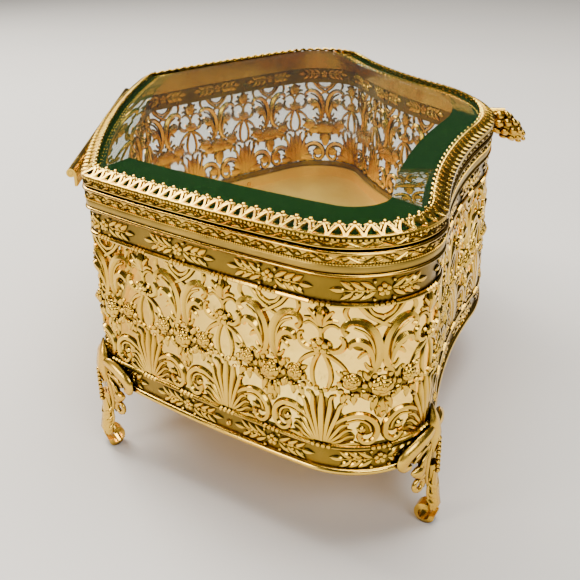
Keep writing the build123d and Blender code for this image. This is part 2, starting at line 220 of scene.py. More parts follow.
def ribs(strokes, flatness=0.7, sides=1, steps=4, closed=False):
    """Smooth round-backed ribs. A stroke is a list of (along, up, radius) or (along, up, radius, out)."""
    curve = bpy.data.curves.new("ribs", "CURVE")
    curve.dimensions = "3D"
    curve.bevel_depth = 1.0
    curve.bevel_resolution = sides
    curve.resolution_u = steps
    curve.use_fill_caps = True
    for stroke in strokes:
        line = curve.splines.new("BEZIER")
        line.bezier_points.add(len(stroke) - 1)
        line.use_cyclic_u = closed
        for knot, point in zip(line.bezier_points, stroke):
            out = point[3] if len(point) > 3 else 0.0
            knot.co = (point[0], point[1], out / flatness)
            knot.radius = point[2]
            knot.handle_left_type = knot.handle_right_type = "AUTO"
    mesh = evaluated_mesh(bpy.data.objects.new("ribs", curve))
    mesh.transform(Matrix.Diagonal((1, 1, flatness, 1)))
    bpy.data.curves.remove(curve)
    return mesh


def mirrored(strokes):
    """The strokes and their mirror images about along = 0."""
    return strokes + [[(-p[0],) + tuple(p[1:]) for p in stroke] for stroke in strokes]


def boss(bm, along, up, radius, out=0.0, height=0.8, fine=False):
    """A round bud, berry or bead."""
    matrix = Matrix.Translation((along, up, out)) @ Matrix.Diagonal((radius, radius, radius * height, 1))
    if fine:
        bmesh.ops.create_uvsphere(bm, u_segments=12, v_segments=8, radius=1, matrix=matrix)
    else:
        bmesh.ops.create_uvsphere(bm, u_segments=6, v_segments=4, radius=1, matrix=matrix)


def blade(bm, start, end, width, out=0.0, height=0.5, tilt=0.0, segments=(6, 6)):
    """A pointed leaf or petal with a raised back, from start to end."""
    length = hypot(end[0] - start[0], end[1] - start[1])
    made = bmesh.ops.create_uvsphere(bm, u_segments=segments[0], v_segments=segments[1], radius=1)["verts"]
    for vert in made:
        point = vert.co.z
        pinch = sqrt(max(0.0, 1 - point * point)) * (1 - 0.25 * point)
        vert.co = Vector((vert.co.x * pinch, vert.co.y * pinch, point))
    turn = atan2(end[1] - start[1], end[0] - start[0])
    place = Matrix.Translation(((start[0] + end[0]) / 2, (start[1] + end[1]) / 2, out))
    place @= Matrix.Rotation(turn, 4, "Z") @ Matrix.Rotation(-tilt, 4, "Y")
    place @= Matrix.Rotation(pi / 2, 4, "Y")
    place @= Matrix.Diagonal((height, width / 2 * 1.3, length / 2, 1))
    bmesh.ops.transform(bm, matrix=place, verts=made)


def pad(bm, along, up, wide, tall, thick=0.35):
    """Thin web of sheet behind a group of ornament."""
    matrix = Matrix.Translation((along, up, -0.25)) @ Matrix.Diagonal((wide, tall, thick, 1))
    bmesh.ops.create_uvsphere(bm, u_segments=14, v_segments=6, radius=1, matrix=matrix)


def flower(bm, along, up, radius, petals=5, out=0.3, turn=0.3):
    """A small open flower: rounded petals round a boss."""
    for index in range(petals):
        angle = turn + tau * index / petals
        reach = radius * 0.6
        boss(bm, along + reach * cos(angle), up + reach * sin(angle), radius * 0.46, out, 0.55)
    boss(bm, along, up, radius * 0.34, out + 0.25, 0.9)


def rose(bm, along, up, radius, out=0.4):
    """A full rose: two turns of petals, each standing higher, round a tight heart."""
    for count, reach, size, rise in ((5, 0.68, 0.46, 0.0), (4, 0.36, 0.40, 0.45), (1, 0.0, 0.30, 0.85)):
        for index in range(count):
            angle = tau * index / count + reach
            x, y = along + radius * reach * cos(angle), up + radius * reach * sin(angle)
            matrix = Matrix.Translation((x, y, out + rise)) @ Matrix.Rotation(angle, 4, "Z")
            matrix @= Matrix.Rotation(0.5 if count > 1 else 0.0, 4, "Y")
            matrix @= Matrix.Diagonal((radius * size * 0.8, radius * size * 1.15, radius * size * 0.6, 1))
            bmesh.ops.create_uvsphere(bm, u_segments=8, v_segments=6, radius=1, matrix=matrix)


def drawn(draw):
    """Runs a drawing function on a new bmesh and gives the mesh."""
    bm = bmesh.new()
    draw(bm)
    bmesh.ops.recalc_face_normals(bm, faces=bm.faces)
    mesh = bpy.data.meshes.new("drawn")
    bm.to_mesh(mesh)
    bm.free()
    return mesh


def joined(meshes):
    """One mesh of several; the several are thrown away."""
    bm = bmesh.new()
    for mesh in meshes:
        bm.from_mesh(mesh)
        bpy.data.meshes.remove(mesh)
    mesh = bpy.data.meshes.new("joined")
    bm.to_mesh(mesh)
    bm.free()
    return mesh


def repeated(mesh, count, step):
    """The mesh count times over, each a step further along."""
    holder = bpy.data.objects.new("row", mesh)
    row = holder.modifiers.new("row", "ARRAY")
    row.use_relative_offset = False
    row.use_constant_offset = True
    row.constant_offset_displace = (step, 0, 0)
    row.count = count
    return evaluated_mesh(holder)


def section_strip(section, steps=760):
    """A closed section (out, up) drawn along the whole wall as one flat strip."""
    bm = bmesh.new()
    verts = [bm.verts.new((0.0, up, out)) for out, up in section]
    edges = [bm.edges.new((a, b)) for a, b in zip(verts, verts[1:] + verts[:1])]
    bmesh.ops.spin(bm, geom=verts + edges, angle=0, steps=steps, axis=(1, 0, 0), cent=(0, 0, 0),
                   dvec=(around / steps, 0, 0))
    mesh = bpy.data.meshes.new("strip")
    bm.to_mesh(mesh)
    bm.free()
    return mesh


def round_edge(out, low, high, bulge, steps=5):
    """Points of a half-round moulding that stands bulge beyond out, from low to high."""
    turns = [-pi / 2 + pi * k / steps for k in range(steps + 1)]
    return [(out + bulge * cos(t), (low + high) / 2 + (high - low) / 2 * sin(t)) for t in turns]


weld_distance = 0.02 * MM


def piece(name, mesh, body, material, sharp=40, weld=False):
    """Makes the finished object: normals out, shading smooth but for real edges, riding on its body."""
    bm = bmesh.new()
    bm.from_mesh(mesh)
    if weld:
        bmesh.ops.remove_doubles(bm, verts=bm.verts, dist=weld_distance)
    bmesh.ops.recalc_face_normals(bm, faces=bm.faces)
    bm.to_mesh(mesh)
    bm.free()
    mesh.shade_smooth()
    mesh.set_sharp_from_angle(angle=radians(sharp))
    mesh.materials.clear()
    mesh.materials.append(material)
    mesh.name = name
    thing = bpy.data.objects.new(name, mesh)
    bpy.context.scene.collection.objects.link(thing)
    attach(thing, body)
    return thing


# ======================================================================================
# Finishes
# ======================================================================================

def linear(colour):
    """sRGB hex to a linear RGBA colour."""
    parts = [int(colour[i:i + 2], 16) / 255 for i in (1, 3, 5)]
    return [c / 12.92 if c <= 0.04045 else ((c + 0.055) / 1.055) ** 2.4 for c in parts] + [1.0]


def add(tree, kind, settings=None, links=None, stops=()):
    """Adds a node. settings are socket values (by name or number) or properties, links are
    socket: (node, output), and stops are the (place, colour) pairs of a colour ramp."""
    node = tree.nodes.new(kind)
    for key, value in (settings or {}).items():
        if isinstance(key, int) or key in node.inputs:
            node.inputs[key].default_value = value
        else:
            setattr(node, key, value)
    for key, (source, output) in (links or {}).items():
        tree.links.new(source.outputs[output], node.inputs[key])
    for index, (place, colour) in enumerate(stops):
        elements = node.color_ramp.elements
        element = elements[index] if index < len(elements) else elements.new(place)
        element.position = place
        element.color = linear(colour)
    return node


def new_material(name):
    """An empty material and its node tree."""
    material = bpy.data.materials.new(name)
    material.use_nodes = True
    tree = material.node_tree
    tree.nodes.clear()
    return material, tree


def gilt(name, bright, deep, shade_and_tarnish, roughness, grain_mm, grain_depth, crevice_mm, low_relief_shade=None):
    """24 carat gold plate on brass. Plating keeps the metal's polish on what stands proud. Painted shade
    darkens the colour towards a brown-green, like tarnished brass, in the hollows that ambient occlusion
    finds and on low relief.
    A soft grain comes from the stamping or the casting. The last argument gives the relief heights, in
    millimetres, between which the painted shade of low relief fades out."""
    material, tree = new_material(name)
    place = add(tree, "ShaderNodeTexCoord")
    cloud = add(tree, "ShaderNodeTexNoise", {"Scale": 1 / (14 * MM), "Detail": 4.0, "Roughness": 0.6},
                {"Vector": (place, "Object")})
    tone = add(tree, "ShaderNodeValToRGB", links={"Fac": (cloud, "Fac")},
               stops=[(0.30, deep), (0.66, bright)])
    # painted shade: where ambient occlusion finds a crevice, the colour goes towards the dark brown-green
    hollow = add(tree, "ShaderNodeAmbientOcclusion", {"Distance": crevice_mm * MM, "samples": 8})
    shade_share = add(tree, "ShaderNodeValToRGB", links={"Fac": (hollow, "AO")},
               stops=[(0.35, "#FFFFFF"), (0.9, "#000000")])
    if low_relief_shade:
        # low relief gets painted shade too: full below the first height, none above the second
        relief = add(tree, "ShaderNodeAttribute", {"attribute_name": "relief"})
        side = add(tree, "ShaderNodeMapRange", {"From Min": low_relief_shade[0], "From Max": low_relief_shade[1],
                                                "To Min": 0.85, "To Max": 0.0}, {"Value": (relief, "Fac")})
        shade_share = add(tree, "ShaderNodeMath", {"operation": "MAXIMUM"},
                   {0: (shade_share, "Color"), 1: (side, "Result")})
    # of a colour Mix node, 0 is the share, 6 and 7 are the colours and 2 is the result
    colour = add(tree, "ShaderNodeMix", {"data_type": "RGBA", 7: linear(shade_and_tarnish)},
                 {0: (shade_share, 0), 6: (tone, "Color")})
    smear = add(tree, "ShaderNodeTexNoise", {"Scale": 1 / (5 * MM), "Detail": 5.0, "Roughness": 0.65},
                {"Vector": (place, "Object")})
    polish = add(tree, "ShaderNodeMapRange",
                 {"From Min": 0.3, "From Max": 0.75, "To Min": roughness * 0.75, "To Max": roughness * 1.45},
                 {"Value": (smear, "Fac")})
    grain = add(tree, "ShaderNodeTexNoise", {"Scale": 1 / (grain_mm * MM), "Detail": 3.0},
                {"Vector": (place, "Object")})
    bump = add(tree, "ShaderNodeBump", {"Strength": 0.5, "Distance": grain_depth * MM},
               {"Height": (grain, "Fac")})
    shader = add(tree, "ShaderNodeBsdfPrincipled", {"Metallic": 1.0},
                 {"Base Color": (colour, 2), "Roughness": (polish, "Result"), "Normal": (bump, "Normal")})
    add(tree, "ShaderNodeOutputMaterial", links={"Surface": (shader, "BSDF")})
    return material


# name, bright, deep, dark brown-green of the painted shade, roughness, grain and its depth, reach of the
# painted crevice shade, heights where the painted shade of low relief fades out (mm)
stamped_gilt = gilt("stamped_gilt_brass", "#F2C84A", "#DBAA32", "#4A3508", 0.19, 0.9, 0.05, 1.6,
                    (0.04, 0.44))
moulded_gilt = gilt("rolled_gilt_brass", "#F1C750", "#DCA935", "#5A420E", 0.19, 1.4, 0.02, 0.9)
# the ground's dark gold is painted shade, standing in for the dark reflections of the flat band; its grain
# stands for the punching
shaded_field_gilt = gilt("punched_and_shaded_gilt_ground", "#927528", "#765E1E", "#332608", 0.30, 0.5, 0.05, 1.6)
cast_gilt = gilt("cast_gilt_brass", "#F1C64E", "#D8A434", "#4C350C", 0.24, 0.6, 0.06, 1.8, (1.2, 2.0))


def lined_gilt():
    """Brass strip, drawn through a die and gilded: fine lines along it, a hair's breadth apart on the
    real one and 0.3 mm apart here, the closest that still shows, give it a dull, silky look."""
    material = gilt("fine_lined_gilt_brass", "#B8973F", "#9A7E34", "#4A380E", 0.36, 0.5, 0.03, 0.9)
    tree = material.node_tree
    place = next(node for node in tree.nodes if node.bl_idname == "ShaderNodeTexCoord")
    bump = next(node for node in tree.nodes if node.bl_idname == "ShaderNodeBump")
    line_spacing = 0.3
    scale = 1 / (line_spacing * MM) / 3.0
    lines = add(tree, "ShaderNodeTexWave",
                {"wave_type": "BANDS", "bands_direction": "Z", "Distortion": 0.6, "Scale": scale},
                {"Vector": (place, "Object")})
    tree.links.new(lines.outputs["Fac"], bump.inputs["Height"])
    return material


def scratched_plate():
    """Gold plated sheet, left matt from the acid dip: a soft glow with fine scratches every way, worn
    in by what was kept in the box, and a few faint cloudy patches."""
    material, tree = new_material("matt_gilt_sheet")
    place = add(tree, "ShaderNodeTexCoord")
    cloud = add(tree, "ShaderNodeTexNoise", {"Scale": 1 / (38 * MM), "Detail": 5.0, "Roughness": 0.62},
                {"Vector": (place, "Object")})
    tone = add(tree, "ShaderNodeValToRGB", links={"Fac": (cloud, "Fac")},
               stops=[(0.32, "#EDBE5A"), (0.62, "#F8D072")])
    scratches = None
    for turn, stretch in ((0.5, 60.0), (1.9, 45.0), (-0.4, 70.0)):
        lay = add(tree, "ShaderNodeMapping", {"Rotation": (0, 0, turn), "Scale": (8.0, stretch, 1.0)},
                  {"Vector": (place, "Object")})
        hair = add(tree, "ShaderNodeTexNoise", {"Scale": 42.0, "Detail": 2.0, "Roughness": 0.5},
                   {"Vector": (lay, "Vector")})
        line = add(tree, "ShaderNodeMapRange", {"From Min": 0.63, "From Max": 0.72}, {"Value": (hair, "Fac")})
        if scratches is None:
            scratches = line
        else:
            scratches = add(tree, "ShaderNodeMath", {"operation": "MAXIMUM"},
                            {0: (scratches, 0), 1: (line, 0)})
    rough = add(tree, "ShaderNodeMapRange", {"To Min": 0.58, "To Max": 0.34}, {"Value": (scratches, 0)})
    bump = add(tree, "ShaderNodeBump", {"Strength": 0.25, "Distance": 0.02 * MM, "invert": True},
               {"Height": (scratches, 0)})
    shader = add(tree, "ShaderNodeBsdfPrincipled", {"Metallic": 1.0},
                 {"Base Color": (tone, "Color"), "Roughness": (rough, "Result"), "Normal": (bump, "Normal")})
    add(tree, "ShaderNodeOutputMaterial", links={"Surface": (shader, "BSDF")})
    return material


painted_bevel_green = 0.22      # share of the bevel's colour that is painted green, standing in for light seen through the glass's thickness


def bevelled_glass():
    """Soda-lime plate glass, ground and brought to a polish: clear through its face, with painted green mixed
    in wherever the bevel slopes, standing in for light seen through its thickness, and the faint haze that
    fingertips leave. Light falls through it."""
    material, tree = new_material("bevelled_plate_glass")
    place = add(tree, "ShaderNodeTexCoord")
    haze = add(tree, "ShaderNodeTexNoise", {"Scale": 1 / (22 * MM), "Detail": 3.0},
               {"Vector": (place, "Object")})
    rough = add(tree, "ShaderNodeMapRange",
                {"From Min": 0.45, "From Max": 0.8, "To Min": 0.0, "To Max": 0.035},
                {"Value": (haze, "Fac")})
    shader = add(tree, "ShaderNodeBsdfPrincipled",
                 {"Base Color": linear("#F6FBF7"), "IOR": 1.52, "Transmission Weight": 1.0},
                 {"Roughness": (rough, "Result")})
    slope = add(tree, "ShaderNodeSeparateXYZ", links={"Vector": (place, "Normal")})
    ground = add(tree, "ShaderNodeMapRange",
                 {"From Min": 0.995, "From Max": 0.985, "To Min": 0.0, "To Max": painted_bevel_green},
                 {"Value": (slope, "Z")})
    # painted green for the bevel's slopes, standing in for light seen through the glass's thickness
    body = add(tree, "ShaderNodeBsdfDiffuse", {"Color": linear("#234A22")})
    bevelled = add(tree, "ShaderNodeMixShader",
                   links={0: (ground, "Result"), 1: (shader, "BSDF"), 2: (body, "BSDF")})
    daylight = add(tree, "ShaderNodeLightPath")
    clear = add(tree, "ShaderNodeBsdfTransparent", {"Color": linear("#E9F5EA")})
    through = add(tree, "ShaderNodeMixShader",
                  links={0: (daylight, "Is Shadow Ray"), 1: (bevelled, "Shader"), 2: (clear, "BSDF")})
    add(tree, "ShaderNodeOutputMaterial", links={"Surface": (through, "Shader")})
    return material


def pale_floor():
    """Matt painted board."""
    material, tree = new_material("pale_board")
    place = add(tree, "ShaderNodeTexCoord")
    cloud = add(tree, "ShaderNodeTexNoise", {"Scale": 3.0, "Detail": 2.0}, {"Vector": (place, "Object")})
    tone = add(tree, "ShaderNodeValToRGB", links={"Fac": (cloud, "Fac")},
               stops=[(0.3, "#C9C7C3"), (0.7, "#CFCDC9")])
    shader = add(tree, "ShaderNodeBsdfPrincipled", {"Roughness": 0.8}, {"Base Color": (tone, "Color")})
    add(tree, "ShaderNodeOutputMaterial", links={"Surface": (shader, "BSDF")})
    return material


fine_lined_gilt = lined_gilt()
matt_sheet = scratched_plate()
glass = bevelled_glass()


# ======================================================================================
# Openwork wall: one repeat, centred on its palmette, between the two bead-and-reel lines
# ======================================================================================

def openwork_ribs():
    """Palmette, volutes, scrolls, acanthus curls, swag and stems of one repeat. Heights count from the
    lower bead-and-reel line."""
    b = half_unit
    middle = [
        [(0, 0.9, 0.5), (0, 4.5, 0.8), (0, 9.0, 0.85), (0, 12.9, 0.4)],
        [(0, 24.3, 0.5), (0, 27.4, 0.42)],
        [(0, 28.0, 0.55), (0, 30.2, 0.85, 0.4), (0, 32.6, 0.4)],
    ]
    halves = [
        # palmette, from its middle blade outwards
        [(0.6, 0.9, 0.4), (1.2, 5.0, 0.62), (1.9, 9.0, 0.72), (2.2, 11.8, 0.45), (3.1, 12.6, 0.3, 0.5)],
        [(1.0, 0.9, 0.4), (2.2, 4.6, 0.58), (3.4, 7.8, 0.62), (4.3, 10.2, 0.5), (5.4, 10.8, 0.28, 0.5)],
        [(1.4, 0.9, 0.38), (3.0, 3.4, 0.5), (4.6, 5.3, 0.46), (5.8, 5.7, 0.22, 0.3)],
        [(1.7, 0.8, 0.36), (3.5, 2.4, 0.46), (5.4, 4.1, 0.4), (6.5, 4.3, 0.2, 0.3)],
        [(1.9, 0.6, 0.32), (3.9, 1.4, 0.42), (5.8, 2.7, 0.36), (6.8, 2.9, 0.18, 0.3)],
        [(2.0, 0.5, 0.35), (4.4, 0.5, 0.5), (6.6, 1.1, 0.5), (8.2, 0.6, 0.3)],
        # volute beside the palmette
        [(2.9, 5.5, 0.35), (5.0, 7.1, 0.6), (7.7, 7.9, 0.72), (10.3, 6.9, 0.8), (11.7, 4.2, 0.78),
         (11.0, 1.8, 0.66), (9.2, 1.2, 0.6), (8.0, 2.4, 0.55), (8.4, 3.7, 0.7, 0.3)],
        [(5.2, 6.0, 0.26, 0.25), (7.7, 6.7, 0.3, 0.3), (9.7, 5.8, 0.3, 0.3), (10.4, 4.0, 0.26, 0.25)],
        # the two stems that enclose the leaf-shaped opening, and their side shoots
        [(1.3, 13.4, 0.35), (2.1, 16.0, 0.5), (1.7, 19.0, 0.5), (0.4, 21.9, 0.45)],
        [(0.6, 21.8, 0.5), (2.4, 20.9, 0.5), (4.3, 19.4, 0.42), (5.6, 17.6, 0.35)],
        # leaf wing beside the flower, and the fork under the fleuron
        [(0.9, 23.0, 0.45), (2.8, 22.5, 0.62, 0.2), (4.5, 23.6, 0.66, 0.3), (4.7, 25.4, 0.5, 0.4),
         (3.9, 25.9, 0.35, 0.4)],
        [(0.1, 26.4, 0.4), (1.1, 27.7, 0.4), (2.7, 28.2, 0.35), (3.8, 27.6, 0.3)],
        [(0.4, 28.2, 0.42), (1.5, 30.3, 0.6, 0.3), (2.7, 31.4, 0.3, 0.4)],
        [(0.5, 28.0, 0.4), (2.1, 29.3, 0.5, 0.3), (3.6, 29.3, 0.28, 0.4)],
        # big scroll and the acanthus leaf that curls inside it
        [(5.4, 26.6, 0.62, 0.4), (4.6, 27.4, 0.5, 0.3), (5.2, 28.7, 0.6), (7.5, 29.2, 0.72),
         (10.1, 27.6, 0.82), (11.85, 23.5, 0.88), (11.5, 19.9, 0.78), (10.1, 17.4, 0.56), (8.6, 16.6, 0.4)],
        [(6.7, 28.0, 0.26, 0.3), (9.1, 26.6, 0.32, 0.35), (10.6, 23.3, 0.32, 0.35), (10.4, 20.4, 0.28, 0.3)],
        [(10.7, 19.2, 0.4), (10.0, 22.6, 0.75, 0.2), (8.4, 24.7, 0.9, 0.4), (6.6, 24.9, 0.75, 0.5),
         (5.8, 23.5, 0.45, 0.4)],
        [(9.6, 22.6, 0.4, 0.2), (8.5, 22.2, 0.5, 0.3), (7.5, 21.2, 0.28, 0.3)],
        [(10.9, 18.6, 0.4), (9.7, 19.0, 0.45, 0.2), (8.9, 20.2, 0.25, 0.2)],
        # crossed stems and hanging swag under the upper line
        [(7.7, 32.9, 0.5), (9.6, 30.7, 0.52), (b, 28.7, 0.48), (b + 2.2, 27.6, 0.35)],
        [(9.3, 32.9, 0.36), (10.5, 31.0, 0.42), (b, 30.1, 0.46)],
        [(5.6, 32.9, 0.42), (5.0, 31.3, 0.5, 0.2), (5.7, 29.6, 0.36)],
    ]
    rise = openwork / drawn_height
    strokes = middle + mirrored(halves)
    return [[(p[0], p[1] * rise, p[2] * fullness) + tuple(p[3:]) for p in stroke] for stroke in strokes]


def openwork_flowers(bm):
    """Flowers, roses, buds and leaves of one repeat."""
    b = half_unit
    for x, y, wide, tall in ((0, 6.2, 3.4, 5.6), (0, 23.5, 2.5, 1.6), (0, 30.2, 2.0, 2.2),
                             (b, 14.4, 4.4, 2.5), (b, 9.8, 1.7, 3.2)):
        pad(bm, x, y, wide, tall)
    for side in (-1, 1):
        for x, y, wide, tall in ((3.2, 5.2, 2.4, 3.4), (4.6, 2.4, 2.6, 1.7), (9.6, 4.6, 1.9, 1.9),
                                 (b - 6.3, 15.6, 2.5, 2.1), (8.0, 13.4, 2.2, 1.6), (8.2, 23.9, 1.9, 1.3)):
            pad(bm, side * x, y, wide, tall)
    flower(bm, 0, 23.5, 1.75, out=0.85)
    for side in (-1, 1):
        boss(bm, side * 1.9, 24.3, 0.5, 0.5)
        boss(bm, side * 1.7, 22.4, 0.45, 0.5)
        rose(bm, side * (b - 6.3), 15.9, 1.95)
        for x, y, size in ((8.9, 15.0, 0.8), (9.6, 17.0, 0.7), (3.9, 15.2, 0.75), (4.1, 13.5, 0.8),
                           (5.6, 12.5, 0.8), (7.3, 12.8, 0.75), (9.0, 12.9, 0.8), (10.2, 11.9, 0.7),
                           (10.9, 17.1, 0.75), (11.8, 18.3, 0.65), (7.9, 18.1, 0.6), (5.0, 18.0, 0.6),
                           (1.0, 13.5, 0.75), (2.4, 13.9, 0.65), (0.0, 13.0, 0.6)):
            boss(bm, side * x, y, size, 0.25)
        for start, end, width in (((8.2, 14.0), (9.9, 11.2), 1.5), ((4.9, 16.9), (3.0, 18.2), 1.1),
                                  ((5.2, 13.4), (4.2, 10.3), 1.3), ((6.6, 13.2), (6.8, 10.2), 1.3),
                                  ((11.6, 12.4), (10.3, 8.6), 1.4), ((12.0, 11.0), (11.4, 7.4), 1.2),
                                  ((9.8, 15.8), (8.4, 18.6), 1.2), ((2.2, 13.4), (3.6, 14.9), 1.0),
                                  ((10.6, 14.0), (9.6, 16.4), 1.2)):
            blade(bm, (side * start[0], start[1]), (side * end[0], end[1]), width, 0.2)
        blade(bm, (side * 9.4, 3.9), (side * 7.2, 4.9), 1.4, 0.2)
    rose(bm, b, 14.6, 2.5, out=0.55)
    blade(bm, (b, 12.0), (b, 6.7), 1.5, 0.4)
    for x, y in ((-0.8, 10.6), (0.9, 9.6), (-0.2, 8.4)):
        boss(bm, b + x, y, 0.6, 0.6)


def openwork_wall():
    """The pierced wall between the bead-and-reel lines; gives the piece that stands for the plain one."""
    row = repeated(ribs(openwork_ribs(), flatness=0.9), unit_count, unit)
    bend(row, lift=lower_reel_z)
    scrolls = piece("openwork_scrolls", row, "base", stamped_gilt)
    blooms = repeated(drawn(openwork_flowers), unit_count, unit)
    bend(blooms, lift=lower_reel_z)
    piece("openwork_flowers", blooms, "base", stamped_gilt)
    return scrolls


def frieze_field(low, high, name):
    """Flat stamped band behind a laurel frieze, in a dark gold that is painted shade."""
    section = [(-wall, low), (-0.02, low), (0.0, low + 0.02), (0.0, high), (-wall, high)]
    strip = section_strip(section)
    bend(strip)
    return piece(name, strip, "base", shaded_field_gilt, weld=True)


def laurel(bm, middle_up):
    """Flower between two laurel branches, centred between two palmettes."""
    flower(bm, half_unit, middle_up, 1.5, out=0.25)
    for side in (-1, 1):
        def spot(reach, off):
            return (half_unit + side * reach, middle_up + off)
        blade(bm, spot(1.0, 0), spot(9.0, 0), 0.55, 0.1, 0.3)
        blade(bm, spot(7.6, 0), spot(10.9, 0.1), 1.15, 0.2, 0.42)
        for reach in (1.7, 3.9, 6.0):
            length = 3.9 - reach * 0.12
            for tip in (-1, 1):
                blade(bm, spot(reach, tip * 0.25), spot(reach + length * 0.86, tip * 1.95), 1.1, 0.22, 0.42)
        for reach, off in ((3.4, 0.0), (5.5, 0.45), (5.5, -0.45), (2.0, 1.9), (2.0, -1.9)):
            boss(bm, *spot(reach, off), 0.42, 0.35)


def laurel_frieze(name, middle_up):
    """Laurel and flower all the way round."""
    row = repeated(drawn(lambda bm: laurel(bm, middle_up)), unit_count, unit)
    bend(row)
    return piece(name, row, "base", stamped_gilt)


def frieze_reverse():
    """Hollows of the upper laurel, struck through to the inside of the band."""
    def draw(bm):
        laurel(bm, upper_reel_z + 3.0)
        bmesh.ops.scale(bm, vec=(1, 1, -1), verts=bm.verts)
        bmesh.ops.translate(bm, vec=(0, 0, -wall), verts=bm.verts)
    row = repeated(drawn(draw), unit_count, unit)
    bend(row)
    return piece("upper_laurel_reverse", row, "base", stamped_gilt)


def bead_and_reel(name, up):
    """Rods that end in groups of beads at every palmette and every flower."""
    def draw(bm):
        for axis in (0.0, half_unit):
            for index in range(4):
                boss(bm, axis + (index - 1.5) * 1.15, up, 0.66, 0.5, 0.95)
        for start in (2.35, half_unit + 2.35):
            end = start + half_unit - 4.7
            matrix = Matrix.Translation(((start + end) / 2, up, 0.4)) @ Matrix.Rotation(pi / 2, 4, "Y")
            rod = bmesh.ops.create_cone(bm, cap_ends=True, segments=8, radius1=0.54, radius2=0.54,
                                        depth=end - start, matrix=matrix)["verts"]
            long_edges = list({e for v in rod for e in v.link_edges if e.calc_length() > 2.0})
            bmesh.ops.subdivide_edges(bm, edges=long_edges, cuts=10)
    row = repeated(drawn(draw), unit_count, unit)
    bend(row)
    return piece(name, row, "base", stamped_gilt)


# ======================================================================================
# Mouldings of the base and of the lid
# ======================================================================================

def bottom_bead():
    """Round bead along the wall's lower edge."""
    section = [(0.05, bottom_z)]
    section += round_edge(0.35, bottom_z, bottom_z + 1.5, 0.75, 6)
    section += [(0.05, bottom_z + 1.6)]
    strip = section_strip(section)
    bend(strip)
    return piece("bottom_bead", strip, "base", moulded_gilt, weld=True)


# levels of the rim's bands, from the friezes up
lined_low, lined_high = rim_z + 0.85, rim_z + 2.45
scroll_low, scroll_high = rim_z + 2.85, rim_z + 4.65
edge_high = split_z - 0.22
rim_ledge = -2.6        # inner edge of the land, from the wall's outer face
glass_ledge = -4.5      # inner edge of the ledge under the glass


def rim_moulding():
    """Two round beads with a groove, the engraved field, the bright rounded top edge and the land."""
    section = [(0.05, rim_z - 0.5)]
    section += round_edge(0.3, rim_z - 0.5, rim_z - 0.1, 0.35, 4)
    section += round_edge(0.75, rim_z - 0.05, rim_z + 0.75, 0.65, 6)
    section += [(0.75, lined_low), (0.75, lined_high), (1.0, scroll_low - 0.35), (1.0, scroll_high)]
    section += round_edge(1.05, scroll_high + 0.02, edge_high, 0.62, 6)
    section += [(0.3, split_z - 0.1), (rim_ledge + 0.1, split_z), (rim_ledge, split_z - 0.1)]
    section += [(rim_ledge, split_z - 0.9), (0.05, split_z - 0.9)]
    strip = section_strip(section)
    bend(strip)
    return piece("rim_moulding", strip, "base", moulded_gilt, weld=True)


def lined_band():
    """Dull strip with fine lines, set in the rim."""
    section = [(0.7, lined_low)] + round_edge(0.92, lined_low, lined_high, 0.22, 6) + [(0.7, lined_high)]
    strip = section_strip(section)
    bend(strip)
    return piece("rim_lined_band", strip, "base", fine_lined_gilt, weld=True)


def vine(low, high, out):
    """Running scroll of one engraved band, one repeat: a wave with a curl and a leaf on each side."""
    middle, swing = (low + high) / 2, (high - low) / 2 - 0.25
    length = unit / 4
    wave = [(0, middle, 0.2, out), (length * 0.25, middle + swing, 0.26, out),
            (length * 0.5, middle, 0.2, out), (length * 0.75, middle - swing, 0.26, out),
            (length, middle, 0.2, out)]
    curls = []
    for x, rise in ((length * 0.25, -swing), (length * 0.75, swing)):
        curls.append([(x - 0.9, middle + rise * 0.1, 0.16, out), (x + 0.1, middle + rise * 0.75, 0.24, out),
                      (x + 0.8, middle + rise * 0.35, 0.22, out), (x + 0.3, middle, 0.16, out)])
        curls.append([(x + 0.9, middle + rise * 0.9, 0.14, out), (x + 1.7, middle + rise * 0.95, 0.2, out)])
    return ribs([wave] + curls, flatness=0.75, sides=0, steps=2)


def engraved_band(name, low, high, out, body):
    """The running scroll, four times to each repeat of the wall."""
    row = repeated(vine(low, high, out), unit_count * 4, unit / 4)
    bend(row)
    return piece(name, row, body, stamped_gilt)


def bead_row(name, up, out, radius, pitch, body):
    """Fine beads, touching or nearly so, all the way round."""
    count = round(around / pitch)

    def draw(bm):
        boss(bm, 0, up, radius, out, 0.9)
    row = repeated(drawn(draw), count, around / count)
    bend(row)
    return piece(name, row, body, stamped_gilt)


lid_beads_z = crown_z - 0.35


def lid_moulding():
    """The lid's upright band, with the ledge that carries the glass."""
    section = [(glass_ledge, lid_z), (0.5, lid_z), (1.25, lid_z + 0.12), (1.3, lid_z + 0.3)]
    section += [(1.1, lid_z + 0.4), (1.1, lid_beads_z - 0.45), (1.2, lid_beads_z - 0.4), (1.0, crown_z)]
    section += [(0.5, crown_z), (0.5, lid_z + 0.8), (glass_ledge, lid_z + 0.8)]
    strip = section_strip(section)
    bend(strip)
    return piece("lid_moulding", strip, "lid", moulded_gilt, weld=True)


arch_width = 3.3
tip_room = 0.5          # what the trefoils stand above the strokes


